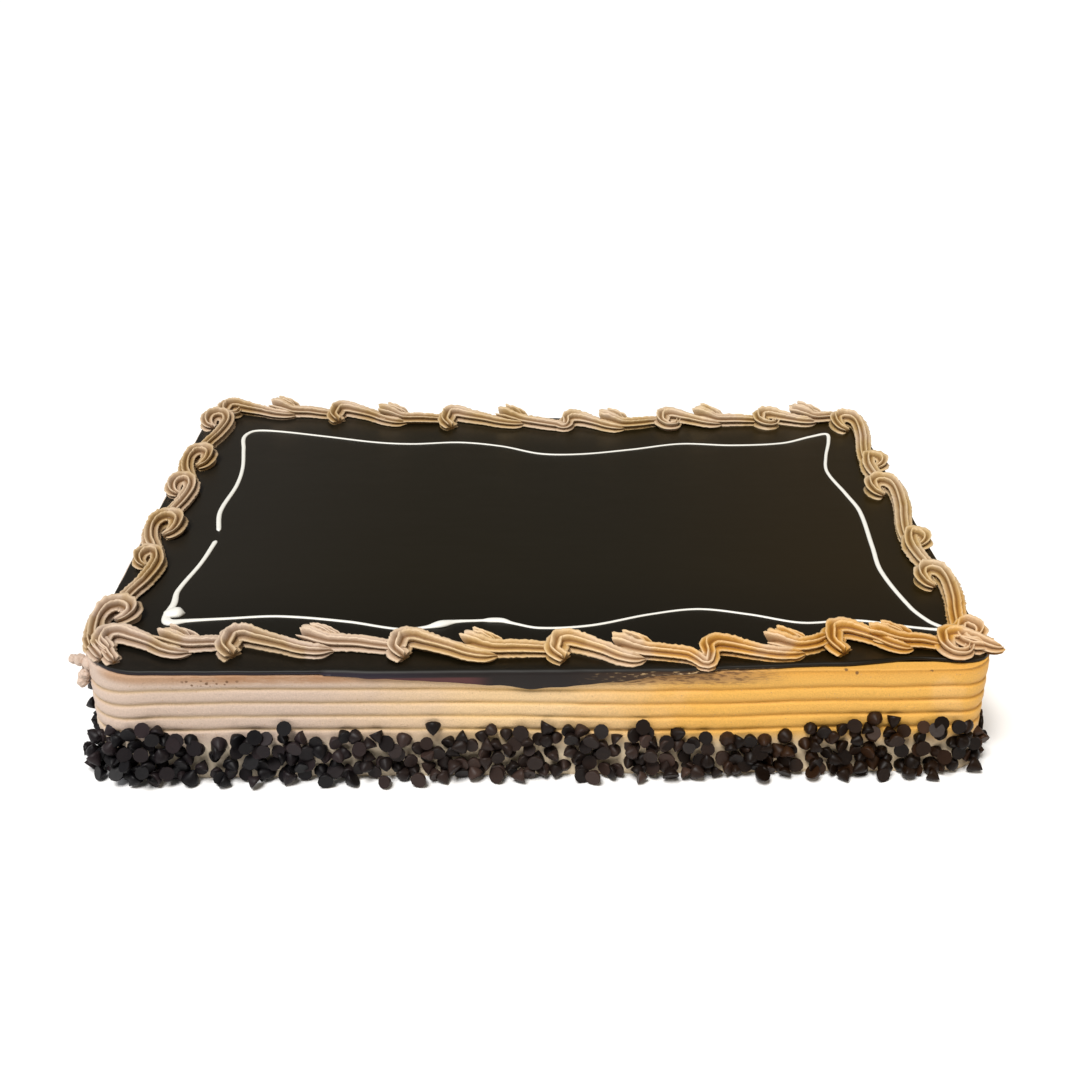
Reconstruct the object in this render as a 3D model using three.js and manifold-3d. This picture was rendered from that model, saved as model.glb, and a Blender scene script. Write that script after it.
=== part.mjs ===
// An uncut half-sheet chocolate cake: a combed buttercream block with chocolate chips pressed round
// its foot, a poured chocolate glaze that drips over the front edge and carries a piped white line,
// and a reverse-scroll buttercream border piped along each of the four top edges.
// Millimetres, +Z up, origin at the centre of the base, the front of the cake towards -Y.
import * as THREE from 'three';
import Module from 'manifold-3d';
import { mergeVertices } from 'three/addons/utils/BufferGeometryUtils.js';

const wasm = await Module();
wasm.setup();

// ---- driving dimensions -------------------------------------------------------------------------
const LENGTH = 457; // along X
const DEPTH = 343; // along Y
const HEIGHT = 63; // base to the top of the glaze
const GAP = 0.3; // between neighbouring pieces
const CORNER_RADII = [34, 20, 12, 14]; // front left, front right, back right, back left
const CORNER_STEPS = 4;
// How far the back edge bows in towards the front, as [x, distance].
const BACK_BOW = [[-215, 0], [-60, 7], [60, 15], [229, 10]];

const GLAZE_THICKNESS = 1.7;
const APRON_THICKNESS = 1.5; // glaze that hangs over the front edge
const GLAZE_INSET = 1.2; // of the glaze's edge from the sides

const GROOVE_PITCH = 7.9; // of the comb's teeth
const GROOVE_TOP = 52.2; // height of the highest groove
const GROOVE_COUNT = 6;
const GROOVE_DEPTH = 1.4;
const GROOVE_HALF_WIDTH = 1.1;

const CHIP_DIAMETER = 7.8;
const CHIP_HEIGHT = 5.6;
const BED_COLUMN = 9.4; // width of one chip's place in the bed round the foot
const BED_ROWS = 3;
const BED_TOP = 25; // mean height of the bed's uneven top
const BED_UNEVEN = 4.5;
const BED_OUT = 1.6; // of the bed's hollows from the wall
const BED_INSIDE = 3; // how deep the bed reaches into the wall
const LOOSE_CHIPS = 74;
const HIGH_CHIPS = [27, 33]; // heights of every third loose chip
const LOW_CHIPS = [5, 24];
const HEAP_CHIPS = 10;
const HEAP_SPACING = 4.4;

const STRAND_HALF_WIDTH = 5.3; // of the piped border
const STRAND_HEIGHT = 7;
const HOOK_RADIUS = 6.6; // of a scroll's middle line
const HOOK_HEIGHT = 9.5;
const LINE_HALF_WIDTH = 1.2; // of the piped white line
const LINE_HEIGHT = 1.1;

const BODY_TOP = HEIGHT - GLAZE_THICKNESS - GAP;
const HALF_X = LENGTH / 2;
const HALF_Y = DEPTH / 2;

// ---- helpers ------------------------------------------------------------------------------------
let seed = 20;
function random() {
  // a small linear congruential generator, so that the cake comes out the same each time
  seed = (seed * 1103515245 + 12345) % 2147483648;
  return seed / 2147483648;
}
const between = (low, high) => low + (high - low) * random();

function smoothStep(value) {
  const t = Math.min(Math.max(value, 0), 1);
  return t * t * (3 - 2 * t);
}

// The value at x of a smooth line through [x, value] knots.
function through(knots, x) {
  let i = 0;
  while (i < knots.length - 2 && x > knots[i + 1][0]) i += 1;
  const [x0, v0] = knots[i];
  const [x1, v1] = knots[i + 1];
  return v0 + (v1 - v0) * smoothStep((x - x0) / (x1 - x0));
}

function meshSolid(points, triangles) {
  const mesh = new wasm.Mesh({
    numProp: 3,
    vertProperties: new Float32Array(points.flat()),
    triVerts: new Uint32Array(triangles.flat()),
  });
  return new wasm.Manifold(mesh);
}

function volumeOf(points, triangles) {
  const [a, b, c] = [new THREE.Vector3(), new THREE.Vector3(), new THREE.Vector3()];
  let volume = 0;
  for (const [i, j, k] of triangles) {
    a.fromArray(points[i]);
    b.fromArray(points[j]);
    c.fromArray(points[k]);
    volume += a.dot(b.cross(c)) / 6;
  }
  return volume;
}

// A solid through a row of rings that all have the same number of points. Its ends are closed by a
// fan round each end ring's middle, or the last ring joins the first. apex(i, j) may raise the
// quad after ring i and point j into a low pyramid by giving its tip.
function loft(rings, { closed = false, apex = () => null } = {}) {
  const size = rings[0].length;
  const points = rings.flat().map((point) => [...point]);
  const triangles = [];
  const spans = closed ? rings.length : rings.length - 1;
  for (let i = 0; i < spans; i += 1) {
    const next = (i + 1) % rings.length;
    for (let j = 0; j < size; j += 1) {
      const beside = (j + 1) % size;
      const corners = [i * size + j, i * size + beside, next * size + beside, next * size + j];
      const tip = apex(i, j);
      if (tip) {
        points.push(tip);
        corners.forEach((corner, n) => triangles.push([corner, corners[(n + 1) % 4], points.length - 1]));
      } else {
        triangles.push([corners[0], corners[1], corners[2]], [corners[0], corners[2], corners[3]]);
      }
    }
  }
  if (!closed) {
    [0, rings.length - 1].forEach((end) => {
      const middle = [0, 1, 2].map((axis) => rings[end].reduce((sum, p) => sum + p[axis], 0) / size);
      points.push(middle);
      for (let j = 0; j < size; j += 1) {
        const pair = [end * size + j, end * size + ((j + 1) % size)];
        if (end === 0) pair.reverse();
        triangles.push([pair[0], pair[1], points.length - 1]);
      }
    });
  }
  if (volumeOf(points, triangles) < 0) triangles.forEach((triangle) => triangle.reverse());
  return meshSolid(points, triangles);
}

function solidOf(geometry, matrix) {
  const bare = geometry.clone().applyMatrix4(matrix);
  bare.deleteAttribute('normal');
  bare.deleteAttribute('uv');
  const merged = mergeVertices(bare, 1e-4);
  return new wasm.Manifold(new wasm.Mesh({
    numProp: 3,
    vertProperties: new Float32Array(merged.attributes.position.array),
    triVerts: new Uint32Array(merged.index.array),
  }));
}

// Joins solids in pairs, then pairs of pairs, and so on.
function joined(solids) {
  let layer = solids;
  while (layer.length > 1) {
    const above = [];
    for (let i = 0; i < layer.length; i += 2) {
      above.push(i + 1 < layer.length ? layer[i].add(layer[i + 1]) : layer[i]);
    }
    layer = above;
  }
  return layer[0];
}

function namedMesh(name, solid, { color, roughness }) {
  const { vertProperties, triVerts, numProp } = solid.getMesh();
  const positions = new Float32Array((vertProperties.length / numProp) * 3);
  for (let i = 0; i < positions.length / 3; i += 1) {
    positions.set(vertProperties.subarray(i * numProp, i * numProp + 3), i * 3);
  }
  const geometry = new THREE.BufferGeometry();
  geometry.setAttribute('position', new THREE.BufferAttribute(positions, 3));
  geometry.setIndex(new THREE.BufferAttribute(new Uint32Array(triVerts), 1));
  const mesh = new THREE.Mesh(geometry, new THREE.MeshStandardMaterial({ color, roughness, metalness: 0 }));
  mesh.name = name;
  return mesh;
}

const BUTTERCREAM = { color: 0xd9bb8f, roughness: 0.6 };
const GLAZE = { color: 0x1d1512, roughness: 0.25 };

// ---- the frosted block and its chips --------------------------------------------------------------
// Draws the back half of the cake in towards the front, so that its back edge bows.
function bowed([x, y]) {
  return [x, y > 0 ? y * (1 - through(BACK_BOW, x) / HALF_Y) : y];
}

// The cake's outline seen from above, shrunk by inset, as [x, y] points from the front left corner.
function outline(inset) {
  const points = [];
  const signs = [[-1, -1], [1, -1], [1, 1], [-1, 1]];
  signs.forEach(([sx, sy], corner) => {
    const radius = CORNER_RADII[corner];
    const centre = [sx * (HALF_X - radius), sy * (HALF_Y - radius)];
    for (let step = 0; step <= CORNER_STEPS; step += 1) {
      const angle = Math.PI * (1 + corner / 2) + (Math.PI / 2) * (step / CORNER_STEPS);
      const reach = radius - inset;
      points.push([centre[0] + reach * Math.cos(angle), centre[1] + reach * Math.sin(angle)]);
    }
    if (corner === 2) points.push([BACK_BOW[2][0], HALF_Y - inset], [BACK_BOW[1][0], HALF_Y - inset]);
  });
  return points.map(bowed);
}

// A point on the outline, the given distance along it, moved outwards by out.
function alongOutline(distance, out) {
  const base = outline(0);
  let left = distance;
  for (let i = 0; ; i = (i + 1) % base.length) {
    const [ax, ay] = base[i];
    const [bx, by] = base[(i + 1) % base.length];
    const length = Math.hypot(bx - ax, by - ay);
    if (left <= length) {
      const t = left / length;
      const normal = [(by - ay) / length, -(bx - ax) / length];
      return {
        x: ax + (bx - ax) * t + normal[0] * out,
        y: ay + (by - ay) * t + normal[1] * out,
        heading: Math.atan2(normal[1], normal[0]),
      };
    }
    left -= length;
  }
}

function outlineLength() {
  const base = outline(0);
  return base.reduce((sum, [x, y], i) => {
    const [nx, ny] = base[(i + 1) % base.length];
    return sum + Math.hypot(nx - x, ny - y);
  }, 0);
}

// The combed block: its wall steps in at each groove the comb has drawn.
function combedBlock() {
  const levels = [[0, 0.4], [1, 0]];
  for (let i = GROOVE_COUNT - 1; i >= 0; i -= 1) {
    const z = GROOVE_TOP - i * GROOVE_PITCH;
    levels.push([z - GROOVE_HALF_WIDTH, 0], [z, GROOVE_DEPTH], [z + GROOVE_HALF_WIDTH, 0]);
  }
  levels.push([BODY_TOP - 1.5, 0], [BODY_TOP, 1]);
  return loft(levels.map(([z, inset]) => outline(inset).map(([x, y]) => [x, y, z])));
}

// The band of chips round the foot, as a bed of blunt bumps, one for each chip's place.
function chipBed() {
  const total = outlineLength();
  const columns = Math.round(total / BED_COLUMN);
  const tops = Array.from({ length: columns }, () => BED_TOP + between(-BED_UNEVEN, BED_UNEVEN));
  const rings = tops.map((top, i) => {
    const ring = [];
    for (let row = 0; row <= BED_ROWS; row += 1) {
      const at = alongOutline((i * total) / columns, BED_OUT * (1 - 0.3 * (row / BED_ROWS)));
      ring.push([at.x, at.y, (top * row) / BED_ROWS]);
    }
    const inside = alongOutline((i * total) / columns, -BED_INSIDE);
    ring.push([inside.x, inside.y, top], [inside.x, inside.y, 0]);
    return ring;
  });
  const apex = (i, j) => {
    if (j >= BED_ROWS) return null;
    const at = alongOutline(((i + between(0.35, 0.65)) * total) / columns, between(4.4, 6.2) - 0.5 * j);
    return [at.x, at.y, (tops[i] / BED_ROWS) * (j + between(0.4, 0.6))];
  };
  return loft(rings, { closed: true, apex });
}

// One chip: a blunt cone on a round foot.
function chip(x, y, z, heading, tilt) {
  const radius = (CHIP_DIAMETER / 2) * between(0.92, 1.08);
  const cone = new THREE.CylinderGeometry(radius * 0.22, radius, CHIP_HEIGHT, 6, 1);
  const turn = new THREE.Matrix4().makeRotationZ(heading);
  turn.multiply(new THREE.Matrix4().makeRotationY(tilt));
  turn.multiply(new THREE.Matrix4().makeRotationX(between(0, Math.PI / 3)));
  turn.setPosition(x, y, z);
  turn.multiply(new THREE.Matrix4().makeRotationZ(-Math.PI / 2));
  return solidOf(cone, turn);
}

// The chips that stand out of the bed or sit above it, spread evenly round the cake, and the heap
// that has gathered at the front left corner.
function looseChips() {
  const total = outlineLength();
  const chips = [];
  for (let i = 0; i < LOOSE_CHIPS; i += 1) {
    const at = alongOutline(((i + between(0.1, 0.9)) * total) / LOOSE_CHIPS, between(2.4, 3.4));
    const z = between(...(i % 3 === 0 ? HIGH_CHIPS : LOW_CHIPS));
    const facesOut = random() < 0.4;
    chips.push(chip(at.x, at.y, z, at.heading + (facesOut ? Math.PI : 0), between(-0.5, 0.5)));
  }
  const heapStart = total - 6;
  for (let i = 0; i < HEAP_CHIPS; i += 1) {
    const at = alongOutline((heapStart + i * HEAP_SPACING) % total, between(4, 5.2));
    chips.push(chip(at.x, at.y, HEAP_SPACING + (i % 3) * CHIP_HEIGHT, at.heading, between(-0.6, 0.6)));
  }
  return chips;
}

// The block with its chips, level underneath. A chip that doesn't reach the bed is dropped.
function frostedCake() {
  const whole = joined([combedBlock(), chipBed(), ...looseChips()]);
  const above = new THREE.BoxGeometry(LENGTH * 2, DEPTH * 2, HEIGHT * 2);
  const level = whole.intersect(solidOf(above, new THREE.Matrix4().makeTranslation(0, 0, HEIGHT)));
  return level.decompose().sort((a, b) => b.volume() - a.volume())[0];
}

// ---- the glaze and the white line ------------------------------------------------------------------
// Height of the glaze's lower edge on the front, lowest at the drip near the middle.
const DRIP = [[-208, 61.3], [-150, 61.1], [-120, 60.6], [-100, 60.1], [-75, 59], [-45, 57], [-20, 54.8],
  [-2, 52.6], [14, 54], [42, 56.5], [60, 59.2], [74, 61.2], [100, 61.3]];
// How far the glaze's front edge stands back from the cake's front face.
const OVERHANG = GAP + APRON_THICKNESS;
const FRONT_EDGE = [[-222, 1.2], [-206, 0], [-188, -1.2], [-172, -OVERHANG], [70, -OVERHANG], [96, 0.5],
  [150, 3], [190, 7.5], [215, 5]];
const GLAZE_STATIONS = [-188, -172, -150, -120, -100, -80, -60, -40, -22, -10, -2, 6, 16, 30, 44, 60, 74, 96,
  120, 150, 170, 190];

// How far the outline stands back from the front (or back) face at x, because of the round corners.
function cornerBack(x, side) {
  const radius = CORNER_RADII[side < 0 ? (x < 0 ? 0 : 1) : (x < 0 ? 3 : 2)];
  const into = Math.max(0, Math.abs(x) - (HALF_X - radius));
  return radius - Math.sqrt(Math.max(0, radius * radius - into * into));
}

// The slab's section at each station: its front edge either rests on the cake's top or, where the
// glaze has run over, hangs down the front face as a thin apron.
function glazeSlab() {
  const underside = BODY_TOP + GAP;
  const edge = HALF_X - GLAZE_INSET;
  const nearCorner = [0, 1, 4, 9, 16].map((d) => edge - d);
  const stations = [...nearCorner.map((x) => -x), ...GLAZE_STATIONS, ...nearCorner.reverse()];
  return loft(stations.map((x) => {
    const back = bowed([x, HALF_Y - GLAZE_INSET - cornerBack(x, 1)])[1];
    const round = cornerBack(x, -1);
    const least = round > 0 ? round + GLAZE_INSET / 2 : -OVERHANG;
    const front = -HALF_Y + Math.max(through(FRONT_EDGE, x), least);
    const hangs = front < -HALF_Y - GAP;
    const lower = hangs ? Math.min(through(DRIP, x), underside - 0.05) : underside;
    const inner = front + APRON_THICKNESS;
    return [
      [x, back, underside], [x, back, HEIGHT - 0.7], [x, back - 1.2, HEIGHT],
      [x, front + 3, HEIGHT], [x, front + 0.9, HEIGHT - 0.5], [x, front, HEIGHT - 1.2],
      [x, front, lower + 0.3], [x, front + 0.6, lower], [x, inner, lower],
      [x, hangs ? inner : inner + 0.5, underside],
    ];
  }));
}

// The white line's course: down the left side from its gap, then back, right, front and up again.
const LINE_COURSE = [
  [-185, -18], [-189, 8], [-186, 45], [-187, 72], [-192, 104], [-195, 124], [-190, 134], [-176, 134],
  [-140, 124], [-104, 113], [-80, 110], [-48, 112], [-20, 105], [6, 92], [32, 91], [66, 98], [100, 107],
  [134, 104], [168, 107], [190, 118], [201, 122], [200, 110], [193, 84], [189, 60], [194, 26], [197, 2],
  [194, -44], [192, -74], [198, -114], [204, -129], [210, -137], [196, -135], [166, -127], [138, -129],
  [112, -120], [86, -114], [60, -119], [28, -130], [2, -132], [-20, -124], [-46, -125], [-70, -132],
  [-98, -124], [-134, -118], [-162, -120], [-190, -123], [-191, -108], [-193, -90], [-187, -58], [-184, -30],
];
const LINE_BLOBS = [[-187, -111, 5], [-191, -120, 3.6], [-22, -124, 3], [-47, -126, 3]];

function whiteLine() {
  const course = LINE_COURSE.map(([x, y]) => new THREE.Vector2(x, y));
  const base = HEIGHT - 0.5;
  return loft(course.map((point, i) => {
    const before = course[Math.max(i - 1, 0)];
    const after = course[Math.min(i + 1, course.length - 1)];
    const along = after.clone().sub(before).normalize();
    const across = [-along.y, along.x];
    const half = i === 0 || i === course.length - 1 ? LINE_HALF_WIDTH * 0.6 : LINE_HALF_WIDTH;
    return [[-half, 0], [-half * 0.7, LINE_HEIGHT], [half * 0.7, LINE_HEIGHT], [half, 0]]
      .map(([side, up]) => [point.x + across[0] * side, point.y + across[1] * side, base + up]);
  }));
}

function glaze() {
  const blobs = LINE_BLOBS.map(([x, y, radius]) => {
    const place = new THREE.Matrix4().makeTranslation(x, y, HEIGHT);
    place.scale(new THREE.Vector3(1, 1.15, 1.5 / radius));
    return solidOf(new THREE.SphereGeometry(radius, 8, 5), place);
  });
  return joined([glazeSlab(), whiteLine(), ...blobs]);
}

// ---- the piped border ------------------------------------------------------------------------------
// One stroke of the star tip, from stations of [x, y, half width, height]. Its foot is flat on the
// glaze and its back carries three ridges.
function strand(stations) {
  const base = HEIGHT + GAP;
  const ridges = [[-1, 0], [-0.84, 0.76], [-0.42, 0.66], [0, 1], [0.42, 0.66], [0.84, 0.76], [1, 0]];
  return loft(stations.map(([x, y, half, height], i) => {
    const [bx, by] = stations[Math.max(i - 1, 0)];
    const [ax, ay] = stations[Math.min(i + 1, stations.length - 1)];
    const length = Math.hypot(ax - bx, ay - by);
    const across = [-(ay - by) / length, (ax - bx) / length];
    return ridges.map(([side, up]) => [
      x + across[0] * side * half,
      y + across[1] * side * half,
      base + up * height,
    ]);
  }));
}

const W = STRAND_HALF_WIDTH;
const H = STRAND_HEIGHT;
const R = HOOK_RADIUS;

// A tail that runs from its start to its end in an easy S, thinning as it goes.
function tail([x0, y0], [x1, y1], alongX) {
  return [0.3, 0.65, 1].map((t) => {
    const ease = smoothStep(t);
    const x = x0 + (x1 - x0) * (alongX ? t : ease);
    const y = y0 + (y1 - y0) * (alongX ? ease : t);
    return [x, y, W * (1 - 0.25 * t * t), H * (1 - 0.45 * t * t)];
  });
}

// A scroll whose foot points to the front and whose tail goes on to the right: along the front and
// back edges.
function scrollRight([x, y, foot], end) {
  return strand([
    [x - R, y - foot, W * 0.8, 3.5],
    [x - R * 1.05, y - foot * 0.45, W, HOOK_HEIGHT * 0.85],
    [x - R * 0.95, y + R * 0.3, W, HOOK_HEIGHT],
    [x - R * 0.3, y + R * 0.95, W, HOOK_HEIGHT],
    [x + R * 0.6, y + R * 0.95, W, HOOK_HEIGHT * 0.9],
    ...tail([x + R * 0.9, y + R * 0.7], end, true),
  ]);
}

// The short stroke between two scrolls: a splayed, ragged head that stands up, then a straight run.
function shellHead([x, y], end, height) {
  return strand([
    [x - 6, y + 7, W * 0.7, height * 0.8],
    [x - 7, y + 2.5, W * 1.05, height],
    [x - 2, y - 0.4, W * 1.2, height * 0.9],
    [x + 7, y - 0.6, W * 1.05, H * 1.1],
    ...tail([x + 10, y], end, true),
  ]);
}

// A scroll whose foot and tail both point to the front: along the left and right edges. side is the
// side of the foot, +1 to the right.
function scrollDown([x, y, foot, side], end) {
  const s = side * R;
  return strand([
    [x + s * 1.05, y - foot, W * 0.75, 3],
    [x + s * 1.05, y - foot * 0.4, W, HOOK_HEIGHT * 0.8],
    [x + s * 0.9, y + R * 0.4, W, HOOK_HEIGHT],
    [x, y + R, W, HOOK_HEIGHT],
    [x - s * 0.9, y + R * 0.4, W, HOOK_HEIGHT * 0.95],
    [x - s * 1.05, y - 8, W, H],
    ...tail([x - s, y - 10], end, false),
  ]);
}

// Heads of the strokes from left to right, turn about: [x, y, length of the foot] for a scroll and
// [x, y] for a shell head.
const FRONT_HEADS = [[-209, -147, 10], [-183, -149], [-149, -148.5, 11], [-112, -147.5], [-61, -153.5, 8],
  [-30, -155.5], [20, -157, 7], [45, -158.5], [91, -161, 8], [125, -155.5], [157, -148, 12], [182, -151],
  [212, -156, 7]];
const BACK_HEADS = [[-209, 157, 9], [-177, 160], [-130, 157, 11], [-98, 150], [-52, 148, 13], [-15, 145],
  [29, 138, 6], [57, 136], [97, 142, 10], [122, 143], [162, 142, 8], [190, 143]];
// Heads from back to front: [x, y, length of the foot, side of the foot].
const LEFT_HEADS = [[-219, 141, 10, -1], [-215, 86, 17, 1], [-219, 41, 13, -1], [-214, -12, 15, 1],
  [-219, -57, 8, -1], [-217, -114, 9, 1]];
const RIGHT_HEADS = [[217, 139, 17, -1], [221, 70, 9, 1], [217, 33, 13, -1], [221, -43, 8, 1],
  [216, -84, 10, -1]];

function crossBorder(heads, headHeight, lastEnd) {
  return joined(heads.map((head, i) => {
    const next = heads[i + 1];
    const end = next ? [next[0] - 3, next[1] + (i % 2 ? 1 : -0.5)] : lastEnd;
    return i % 2 ? shellHead(head, end, headHeight) : scrollRight(head, end);
  }));
}

function sideBorder(heads, lastEnd) {
  return joined(heads.map((head, i) => {
    const next = heads[i + 1];
    const end = next ? [next[0] - next[3] * R * 0.8, next[1] + 2] : lastEnd;
    return scrollDown(head, end);
  }));
}

const FRONT_CUT = -135;
const BACK_CUT = 147;
const CORNER_WIDTH = 30;
const CUT_HEIGHT = HEIGHT * 1.4; // of the cutting boxes' middles, well above the glaze

// The side borders are cut off square where they meet the front and back ones.
function sliceY(solid, low, high) {
  const box = new THREE.BoxGeometry(LENGTH * 2, high - low, HEIGHT);
  const place = new THREE.Matrix4().makeTranslation(0, (low + high) / 2, CUT_HEIGHT);
  return solid.intersect(solidOf(box, place));
}

// Takes the corners' inner halves off a front or back border, so that the side borders fit there.
function clearOfSides(solid, low, high) {
  return [-1, 1].reduce((rest, side) => {
    const block = new THREE.BoxGeometry(CORNER_WIDTH * 2, high - low, HEIGHT);
    const place = new THREE.Matrix4().makeTranslation(side * (HALF_X + 2), (low + high) / 2, CUT_HEIGHT);
    return rest.subtract(solidOf(block, place));
  }, solid);
}

const frontBorder = clearOfSides(crossBorder(FRONT_HEADS, 11, [231, -160]), FRONT_CUT - GAP, 0);
const backBorder = clearOfSides(crossBorder(BACK_HEADS, 12.5, [214, 150]), 0, BACK_CUT + GAP);
const leftBorder = sliceY(sideBorder(LEFT_HEADS, [-221, -150]), FRONT_CUT, BACK_CUT);
const rightBorder = sliceY(sideBorder(RIGHT_HEADS, [220, -150]), FRONT_CUT, BACK_CUT);

const cake = new THREE.Group();
cake.add(namedMesh('frosted_cake', frostedCake(), BUTTERCREAM));
cake.add(namedMesh('chocolate_glaze', glaze(), GLAZE));
cake.add(namedMesh('border_front', frontBorder, BUTTERCREAM));
cake.add(namedMesh('border_back', backBorder, BUTTERCREAM));
cake.add(namedMesh('border_left', leftBorder, BUTTERCREAM));
cake.add(namedMesh('border_right', rightBorder, BUTTERCREAM));

export default cake;
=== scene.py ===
# An uncut half-sheet chocolate cake, as it is put together: a combed buttercream block, chocolate
# chips pressed round its foot, a poured chocolate glaze, a reverse-scroll buttercream border along the
# four top edges, and a thin line of white icing. +Z is up and the cake's front is towards -Y. Shapes
# are worked out in millimetres, and MM makes them metres. Materials and the studio are in metres.
import math
import random

import bmesh
import bpy
import numpy as np
from mathutils import Matrix, Vector, noise


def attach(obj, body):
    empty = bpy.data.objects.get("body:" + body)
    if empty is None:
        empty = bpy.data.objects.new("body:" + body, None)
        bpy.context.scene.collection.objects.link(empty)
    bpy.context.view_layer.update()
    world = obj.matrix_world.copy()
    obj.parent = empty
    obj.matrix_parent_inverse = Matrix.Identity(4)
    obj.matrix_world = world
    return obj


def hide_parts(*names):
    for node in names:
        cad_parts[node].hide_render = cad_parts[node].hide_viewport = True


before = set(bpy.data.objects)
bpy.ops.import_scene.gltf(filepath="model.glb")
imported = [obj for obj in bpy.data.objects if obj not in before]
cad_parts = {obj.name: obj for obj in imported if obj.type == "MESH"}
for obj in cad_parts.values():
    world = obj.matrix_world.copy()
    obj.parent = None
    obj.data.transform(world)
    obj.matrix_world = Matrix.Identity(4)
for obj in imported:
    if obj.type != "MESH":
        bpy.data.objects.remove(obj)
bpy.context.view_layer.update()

# ---- the table and the studio ----
# A plain white table under soft daylight: one broad light from above the front, one from the left,
# and a little warm light from the right. The camera stands in front of the cake and looks down on it.
MM = 0.001
CAMERA_PLACE = (-0.00623, -0.7392, 0.42531)
CAMERA_DOWN = math.radians(27.14)
CAMERA_TURN = math.radians(-0.79)
CAMERA_ROLL = math.radians(-0.08)
CAMERA_LENS = 45.67
CAMERA_SENSOR = 36
TABLE_HALF = 12.0
TABLE_WHITE = (0.93, 0.93, 0.93, 1)
LIT_POINT = Vector((0, 0, 0.03))
ROOM_COLOUR = (1, 0.97, 0.92, 1)
ROOM_STRENGTH = 0.14


class Flow:
    """A socket that takes part in Python expressions, each of which adds its Math nodes."""

    def __init__(self, web, socket):
        self.web = web
        self.socket = socket

    def __add__(self, other):
        return self.web.maths("ADD", self, other)

    def __sub__(self, other):
        return self.web.maths("SUBTRACT", self, other)

    def __rsub__(self, other):
        return self.web.maths("SUBTRACT", other, self)

    def __mul__(self, other):
        return self.web.maths("MULTIPLY", self, other)

    def __truediv__(self, other):
        return self.web.maths("DIVIDE", self, other)

    def __pow__(self, other):
        return self.web.maths("POWER", self, other)

    __radd__ = __add__
    __rmul__ = __mul__


class Web:
    """The nodes of one material or of one Geometry Nodes tree."""

    def __init__(self, tree):
        self.tree = tree

    def node(self, kind, settings=None, inputs=None):
        """Adds a node, sets it up, then fills its sockets, which are given by name or number."""
        made = self.tree.nodes.new(kind)
        for name, value in (settings or {}).items():
            setattr(made, name, value)
        for key, value in (inputs or {}).items():
            if isinstance(key, str):
                self.fill(next(s for s in made.inputs if s.name == key and s.enabled), value)
            else:
                self.fill(made.inputs[key], value)
        return made

    def fill(self, socket, value):
        """Sets a socket to a value, or joins it to a flow."""
        if isinstance(value, Flow):
            self.tree.links.new(value.socket, socket)
        else:
            socket.default_value = value

    def flow(self, kind, settings=None, inputs=None, output=None):
        """As node, but gives the flow out of its named or first shown output."""
        made = self.node(kind, settings, inputs)
        shown = [s for s in made.outputs if s.enabled and output in (None, s.name)]
        return Flow(self, shown[0])

    def maths(self, operation, *values):
        return self.flow("ShaderNodeMath", {"operation": operation}, dict(enumerate(values)))

    def vector(self, operation, *values):
        return self.flow("ShaderNodeVectorMath", {"operation": operation}, dict(enumerate(values)))

    def scaled(self, vector, amount):
        return self.flow("ShaderNodeVectorMath", {"operation": "SCALE"}, {0: vector, "Scale": amount})

    def step(self, value, low, high):
        """0 below low and 1 above high, with a smooth rise between them."""
        return self.flow(
            "ShaderNodeMapRange",
            {"interpolation_type": "SMOOTHSTEP"},
            {0: value, 1: low, 2: high},
        )

    def blend(self, amount, first, second):
        """A colour between two colours."""
        return Flow(self, self.node(
            "ShaderNodeMix", {"data_type": "RGBA"}, {0: amount, 6: first, 7: second}
        ).outputs[2])

    def layered(self, colour, *layers):
        """A colour with others laid over it in turn, each as how far it covers and the colour."""
        for amount, cover in layers:
            colour = self.blend(amount, colour, cover)
        return colour

    def tinted(self, amount, colour, tone):
        """A colour, multiplied by a tone as far as amount says."""
        return self.blend(amount, colour, self.vector("MULTIPLY", colour, tone))

    def within(self, value, rise, fall):
        """1 between a rise and a fall, each given as the values where it starts and ends."""
        return self.step(value, *rise) * (1 - self.step(value, *fall))

    def split(self, vector):
        return [Flow(self, axis) for axis in self.node("ShaderNodeSeparateXYZ", inputs={0: vector}).outputs]

    def joined(self, x=0, y=0, z=0):
        return self.flow("ShaderNodeCombineXYZ", inputs={0: x, 1: y, 2: z})

    def place(self):
        return self.flow("ShaderNodeTexCoord", output="Object")

    def mark(self, name):
        """A number that the mesh carries under a name."""
        return self.flow("ShaderNodeAttribute", {"attribute_name": name}, output="Fac")

    def noise(self, place, scale, detail):
        return self.flow("ShaderNodeTexNoise", inputs={"Vector": place, "Scale": scale, "Detail": detail})

    def specks(self, place, scale, size, reach):
        """1 in scattered specks up to their size, fading to 0 at their reach, as shares of a cell."""
        away = self.flow("ShaderNodeTexVoronoi", inputs={"Vector": place, "Scale": scale}, output="Distance")
        return 1 - self.step(away, size, reach)

    def bump(self, height, strength, distance):
        return self.flow(
            "ShaderNodeBump", inputs={"Strength": strength, "Distance": distance, "Height": height})


def new_material(name):
    """A material with a Principled shader, and its web."""
    material = bpy.data.materials.new(name)
    material.use_nodes = True
    return material, Web(material.node_tree)


def set_shader(web, **values):
    """Fills the Principled shader's sockets, whose names are written with _ for a space."""
    shader = web.tree.nodes["Principled BSDF"]
    for name, value in values.items():
        web.fill(shader.inputs[name.replace("_", " ")], value)


def in_scene(name, data):
    """A new object of a mesh, a light or a camera, at the origin."""
    thing = bpy.data.objects.new(name, data)
    bpy.context.scene.collection.objects.link(thing)
    return thing


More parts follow.
